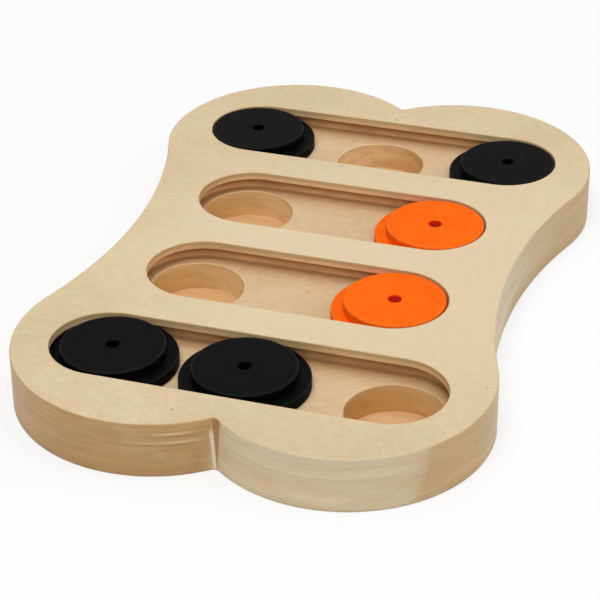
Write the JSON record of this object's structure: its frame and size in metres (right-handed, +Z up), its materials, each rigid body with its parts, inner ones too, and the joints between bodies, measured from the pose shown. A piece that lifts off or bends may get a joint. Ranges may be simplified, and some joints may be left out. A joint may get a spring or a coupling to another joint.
{
  "type": "dog puzzle feeder",
  "caption": "Layered wooden puzzle board for dogs: round stepped discs slide along round-ended slots to cover and uncover treat wells in a lobed board.",
  "frame": {"origin": "middle of the board's underside, on the surface that it rests on", "axes": "+X along the slots to the right, +Y away from the user across the slots, +Z up out of the top face"},
  "size_m": [0.222, 0.34, 0.027],
  "materials": {
    "top_board": "sanded pale fibreboard under a thin matt varnish",
    "channel_board": "cut edge of pale plywood under a thin matt varnish",
    "well_board": "sanded pale board, bored wells slightly darker",
    "bottom_board": "smooth thin board, matt",
    "black_paint": "matt black paint on wood",
    "orange_paint": "satin orange paint on wood"
  },
  "bodies": {
    "board": {"top_plate": "top_board", "channel_plate": "channel_board", "well_plate": "well_board", "bottom_sheet": "bottom_board"},
    "front_left_disc": {"front_left_disc_cap": "black_paint", "front_left_disc_foot": "black_paint"},
    "front_middle_disc": {"front_middle_disc_cap": "black_paint", "front_middle_disc_foot": "black_paint"},
    "second_row_disc": {"second_row_disc_cap": "orange_paint", "second_row_disc_foot": "orange_paint"},
    "third_row_disc": {"third_row_disc_cap": "orange_paint", "third_row_disc_foot": "orange_paint"},
    "back_left_disc": {"back_left_disc_cap": "black_paint", "back_left_disc_foot": "black_paint"},
    "back_right_disc": {"back_right_disc_cap": "black_paint", "back_right_disc_foot": "black_paint"}
  },
  "joints": [
    {"name": "front_left_disc_slide", "type": "slide", "parent": "board", "child": "front_left_disc", "axis": [1, 0, 0], "range_m": [-0.0046, 0.001]},
    {"name": "front_middle_disc_slide", "type": "slide", "parent": "board", "child": "front_middle_disc", "axis": [1, 0, 0], "range_m": [-0.0015, 0.0681]},
    {"name": "second_row_disc_slide", "type": "slide", "parent": "board", "child": "second_row_disc", "axis": [1, 0, 0], "range_m": [-0.0965, 0.0007]},
    {"name": "third_row_disc_slide", "type": "slide", "parent": "board", "child": "third_row_disc", "axis": [1, 0, 0], "range_m": [-0.0967, 0.0005]},
    {"name": "back_left_disc_slide", "type": "slide", "parent": "board", "child": "back_left_disc", "axis": [1, 0, 0], "range_m": [0, 0.0676]},
    {"name": "back_right_disc_slide", "type": "slide", "parent": "board", "child": "back_right_disc", "axis": [1, 0, 0], "range_m": [-0.0073, 0]}
  ]
}
